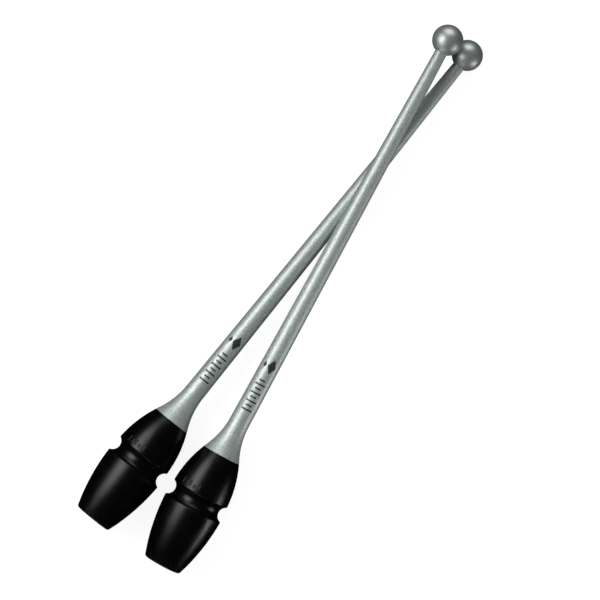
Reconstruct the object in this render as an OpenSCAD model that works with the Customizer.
// A pair of gymnastics clubs, lying crossed as they are put down.
// Each club is a ball head, a slim hollow neck and a two-lobed rubber body
// with a rigid hollow core, and the base of one takes the head of the other.
// Every piece is drawn upright about Z, from the base face at z = 0 to the
// head, and is then laid down beside the other club.

/* [Club] */
// Length of a club, from its base to the top of its head
club_length = 455; // [430:5:490]
// Diameter of the ball head
head_d = 23.3; // [22.6:0.1:24.2]
// Radius of the neck where it leaves the skirt
neck_r = 7.8; // [7.4:0.1:8.4]
// Radius of the neck where its taper changes slope
neck_mid_r = 5.95; // [5.6:0.05:6.4]
// Where the slope changes, as a share of the way from the skirt to the neck's tip
neck_mid_share = 0.714; // [0.65:0.001:0.78]
// Radius of the neck at the head
neck_tip_r = 4.65; // [4.4:0.05:5]

/* [Body] */
// Length of the rubber body, from the base to its joint with the skirt
body_length = 92.9; // [91:0.1:96]
// Length of the skirt, from the joint to the slim neck
skirt_length = 28.1; // [26:0.1:30]
// Largest radius of the bow that the lower lobe follows
lower_lobe_r = 23.1; // [22.4:0.1:24]
// Radius of that long bow
lower_bow_r = 160; // [140:5:190]
// Largest radius of the bow that the upper lobe follows
upper_lobe_r = 22.3; // [21.6:0.1:23]
// Radius of that bow
upper_bow_r = 88; // [84:1:96]
// Radius at the floor of the ring groove
groove_floor_r = 18.35; // [17.6:0.05:19]
// Radius of the groove's round section
groove_r = 6.3; // [5.6:0.1:6.8]
// Rounding of the groove's two lips
lip_r = 1; // [0.6:0.1:1.4]
// Rounding of the base edge
base_edge_r = 2; // [1.6:0.1:2]

/* [Link socket] */
// Radial clearance round the other club's head
socket_clearance = 0.1; // [0.05:0.05:0.2]
// Depth of the socket
socket_depth = 22; // [21:0.5:22.5]

/* [Lie] */
// Angle between the two clubs, seen from above
cross_angle = 10.4; // [9:0.2:12]
// Distance of the crossing from each base
cross_at = 342; // [335:1:350]
// Height between the two necks where they cross, seen from above
cross_gap = 1.05; // [1.05:0.05:2]

/* [Hidden] */
$fn = 96;

// Head and the neck's tip
head_r = head_d / 2;
head_z = club_length - head_r;
tip_seat = 1.5;
tip_z = head_z - sqrt(pow(head_r, 2) - pow(neck_tip_r, 2)) + tip_seat;
tip_bore_r = 3;

// Stud: a plug in the neck, a stem and two barbs in the head
plug_length = 20;
stem_r = 3.4;
barb_r = 5.2;
barb_length = 4;
barb_z = [tip_z + 3, tip_z + 9];
stud_top = barb_z[1] + barb_length + 1;

// Heights of the body's outline
lower_bow_z = 52;
groove_z = 54.3;
upper_bow_z = 57;
lower_bow = [lower_lobe_r - lower_bow_r, lower_bow_z];
upper_bow = [upper_lobe_r - upper_bow_r, upper_bow_z];
groove = [groove_floor_r + groove_r, groove_z];

// Where a circle r1 round c1 meets a circle r2 round c2, on the side asked for
function meet(c1, r1, c2, r2, side) =
    let (
        line = c2 - c1,
        span = norm(line),
        along = (pow(r1, 2) - pow(r2, 2) + pow(span, 2)) / (2 * span),
        off = sqrt(pow(r1, 2) - pow(along, 2)),
        u = line / span
    )
    c1 + along * u + side * off * [-u[1], u[0]];

function angle_to(from, to) = atan2(to[1] - from[1], to[0] - from[0]);

function arc(c, r, from, to, steps) = [
    for (i = [0:steps])
        let (a = from + (to - from) * i / steps)
        c + r * [cos(a), sin(a)]
];

// Centres of the roundings, each tangent to the curves on its two sides
base_edge = [
    lower_bow[0] + sqrt(pow(lower_bow_r - base_edge_r, 2) - pow(lower_bow_z - base_edge_r, 2)),
    base_edge_r
];
lower_lip = meet(lower_bow, lower_bow_r - lip_r, groove, groove_r + lip_r, -1);
upper_lip = meet(upper_bow, upper_bow_r - lip_r, groove, groove_r + lip_r, 1);

// The joint of body and neck, and the skirt that leaves it on the same slope
joint_slope = asin((body_length - upper_bow_z) / upper_bow_r);
joint_r = upper_bow[0] + upper_bow_r * cos(joint_slope);
neck_z = body_length + skirt_length;
neck_mid_z = neck_z + neck_mid_share * (tip_z - neck_z);
flare_r = (neck_r + tan(joint_slope) * (neck_z - body_length) - joint_r) / (1 / cos(joint_slope) - 1);

// Core of the body
socket_r = head_r + socket_clearance;
socket_mouth_r = 1;
floor_hole_r = 6;
cap_z = socket_depth + 4;
cap_thickness = 3;
hub_z = cap_z + cap_thickness;
hub_r = 15.4;
hub_wall = 2;
collar_z = 80;
collar_r = 11;
spigot_z = 48;
spigot_r = 8.5;
boss_r = 10.3;
boss_floor = 2;
bore_r = 5.8;
bore_taper_z = 140;

// Screw, washer, insert and weight
screw_hole_r = 2.2;
screw_r = 2;
screw_head_r = 3.6;
screw_head_h = 2.6;
screw_tip_z = 56;
socket_key_r = 1.5;
socket_key_depth = 1.6;
washer_r = 5;
washer_thickness = 1;
insert_length = 8;
weight_r = hub_r - hub_wall;
weight_bore_r = 6.5;
weight_h = 2.5;

// How the clubs lie: the rear one on its lower lip and its head
lean_run = head_z - lower_lip[1];
rear_pitch = asin((lip_r - head_r) / norm([lean_run, lower_lip[0]])) + atan(lower_lip[0] / lean_run);
rear_base_z = head_r + head_z * sin(rear_pitch);

// and the front one on its lower lip and the rear club's neck
function neck_radius(z) = z < neck_mid_z
    ? neck_r + (neck_mid_r - neck_r) * (z - neck_z) / (neck_mid_z - neck_z)
    : neck_mid_r + (neck_tip_r - neck_mid_r) * (z - neck_mid_z) / (tip_z - neck_mid_z);
cross_z = rear_base_z - cross_at * sin(rear_pitch) + 2 * neck_radius(cross_at) + cross_gap;
front_run = cross_at - lower_lip[1];
front_pitch = asin((cross_z - lip_r) / norm([front_run, lower_lip[0]])) - atan(lower_lip[0] / front_run);
front_base_z = cross_z - cross_at * sin(front_pitch);

// Ends of a club along X, counted from the crossing, for the origin at the middle
function head_end(pitch) = (head_z - cross_at) * cos(pitch) * cos(cross_angle / 2) + head_r;
function base_end(pitch) =
    let (ux = cos(pitch) * cos(cross_angle / 2))
    (base_edge_r - cross_at) * ux - base_edge[0] * sqrt(1 - pow(ux, 2)) - base_edge_r;
cross_x = -(max(head_end(rear_pitch), head_end(front_pitch)) + min(base_end(rear_pitch), base_end(front_pitch))) / 2;

// Lays an upright club down with its head towards +X, through the crossing
module lay(yaw, pitch, base_z) {
    reach = cross_at * cos(pitch);
    translate([cross_x - reach * cos(yaw), -reach * sin(yaw), base_z])
        rotate([0, -pitch, yaw])
            rotate([0, 90, 0])
                children();
}

module rear() {
    lay(-cross_angle / 2, -rear_pitch, rear_base_z) children();
}

module front() {
    lay(cross_angle / 2, front_pitch, front_base_z) children();
}

// A hole or a shaft about the club's axis, from one height to another
module round_bar(r, from, to) {
    translate([0, 0, from]) cylinder(r = r, h = to - from);
}

// Section of the stud above the neck's tip: a seat, a stem and two barbs
module stud_section() {
    polygon([
        [0, tip_z - 1],
        [stem_r, tip_z - 1],
        [stem_r, barb_z[0]],
        [barb_r, barb_z[0]],
        [stem_r, barb_z[0] + barb_length],
        [stem_r, barb_z[1]],
        [barb_r, barb_z[1]],
        [stem_r, barb_z[1] + barb_length],
        [stem_r - 1, stud_top],
        [0, stud_top]
    ]);
}

// Rubber ball, moulded with the hollow that its stud fills
module head() {
    color([0.5, 0.51, 0.52])
        difference() {
            translate([0, 0, head_z]) sphere(r = head_r);
            rotate_extrude() stud_section();
            round_bar(neck_tip_r, head_z - head_r - 1, tip_z);
        }
}

// Barbed stud: its plug sits in the neck, its barbs in the head
module head_stud() {
    color("ivory")
        union() {
            intersection() {
                rotate_extrude() stud_section();
                round_bar(2 * barb_r, tip_z, club_length);
            }
            round_bar(tip_bore_r, tip_z - plug_length, tip_z + 1);
        }
}

// Silver tube with its skirt, and the spigot that enters the hub
module neck() {
    outline = concat(
        [[0, spigot_z], [spigot_r, spigot_z], [spigot_r, body_length], [joint_r, body_length]],
        arc([neck_r + flare_r, neck_z], flare_r, 180 + joint_slope, 180, 16),
        [[neck_mid_r, neck_mid_z], [neck_tip_r, tip_z - tip_seat], [neck_tip_r, tip_z], [0, tip_z]]
    );
    bore = [
        [0, spigot_z - 1],
        [bore_r, spigot_z - 1],
        [bore_r, bore_taper_z],
        [tip_bore_r, tip_z - plug_length],
        [tip_bore_r, tip_z + 1],
        [0, tip_z + 1]
    ];
    color([0.78, 0.79, 0.79])
        difference() {
            rotate_extrude() polygon(outline);
            rotate_extrude() polygon(bore);
        }
}

// Outside of the body: base edge, lower lobe, groove with its lips, upper lobe
module body_solid() {
    outline = concat(
        [[0, 0]],
        arc(base_edge, base_edge_r, -90, angle_to(lower_bow, base_edge), 6),
        arc(lower_bow, lower_bow_r, angle_to(lower_bow, base_edge), angle_to(lower_bow, lower_lip), 16),
        arc(lower_lip, lip_r, angle_to(lower_bow, lower_lip), angle_to(lower_lip, groove), 6),
        arc(groove, groove_r, angle_to(groove, lower_lip) + 360, angle_to(groove, upper_lip), 16),
        arc(upper_lip, lip_r, angle_to(upper_lip, groove), angle_to(upper_bow, upper_lip), 6),
        arc(upper_bow, upper_bow_r, angle_to(upper_bow, upper_lip), joint_slope, 12),
        [[0, body_length]]
    );
    rotate_extrude() polygon(outline);
}

// Outside of the core, which the rubber is moulded round
module core_solid() {
    round_bar(hub_r, cap_z, collar_z);
    round_bar(collar_r, collar_z - 1, body_length + 1);
}

// Flare of the socket's mouth
module socket_mouth() {
    rotate_extrude()
        difference() {
            translate([0, -1]) square([socket_r + socket_mouth_r, socket_mouth_r + 1]);
            translate([socket_r + socket_mouth_r, socket_mouth_r]) circle(r = socket_mouth_r);
        }
}

module body() {
    color([0.07, 0.07, 0.08])
        difference() {
            body_solid();
            core_solid();
            round_bar(socket_r, -1, socket_depth);
            round_bar(floor_hole_r, 0, cap_z + 1);
            socket_mouth();
        }
}

// Hollow core, open at its lower end, with the boss that takes the spigot
module hub() {
    color("gainsboro")
        difference() {
            union() {
                difference() {
                    round_bar(hub_r, hub_z, collar_z);
                    round_bar(hub_r - hub_wall, hub_z - 1, collar_z - hub_wall);
                }
                round_bar(boss_r, spigot_z - boss_floor, collar_z);
                round_bar(collar_r, collar_z - hub_wall, body_length);
            }
            round_bar(spigot_r, spigot_z, body_length + 1);
            round_bar(screw_hole_r, spigot_z - boss_floor - 1, spigot_z + 1);
        }
}

module hub_cap() {
    color("gainsboro")
        difference() {
            round_bar(hub_r, cap_z, hub_z);
            round_bar(screw_hole_r, cap_z - 1, hub_z + 1);
        }
}

module balance_weight() {
    color("slategray")
        difference() {
            round_bar(weight_r, hub_z, hub_z + weight_h);
            round_bar(weight_bore_r, hub_z - 1, hub_z + weight_h + 1);
        }
}

module spigot_insert() {
    color("goldenrod")
        difference() {
            round_bar(bore_r, spigot_z, spigot_z + insert_length);
            round_bar(screw_r, spigot_z - 1, spigot_z + insert_length + 1);
        }
}

module washer() {
    color("silver")
        difference() {
            round_bar(washer_r, cap_z - washer_thickness, cap_z);
            round_bar(screw_hole_r, cap_z - washer_thickness - 1, cap_z + 1);
        }
}

// Cap screw with a hexagonal key hole, its head towards the socket
module retaining_screw() {
    head_top = cap_z - washer_thickness;
    color("silver")
        difference() {
            union() {
                round_bar(screw_head_r, head_top - screw_head_h, head_top);
                round_bar(screw_r, head_top - 1, screw_tip_z);
            }
            translate([0, 0, head_top - screw_head_h - 1])
                cylinder(r = socket_key_r, h = socket_key_depth + 1, $fn = 6);
        }
}

rear() head();  // rear_head
rear() head_stud();  // rear_head_stud
rear() neck();  // rear_neck
rear() body();  // rear_body
rear() hub();  // rear_hub
rear() hub_cap();  // rear_hub_cap
rear() balance_weight();  // rear_balance_weight
rear() spigot_insert();  // rear_spigot_insert
rear() washer();  // rear_washer
rear() retaining_screw();  // rear_retaining_screw
front() head();  // front_head
front() head_stud();  // front_head_stud
front() neck();  // front_neck
front() body();  // front_body
front() hub();  // front_hub
front() hub_cap();  // front_hub_cap
front() balance_weight();  // front_balance_weight
front() spigot_insert();  // front_spigot_insert
front() washer();  // front_washer
front() retaining_screw();  // front_retaining_screw
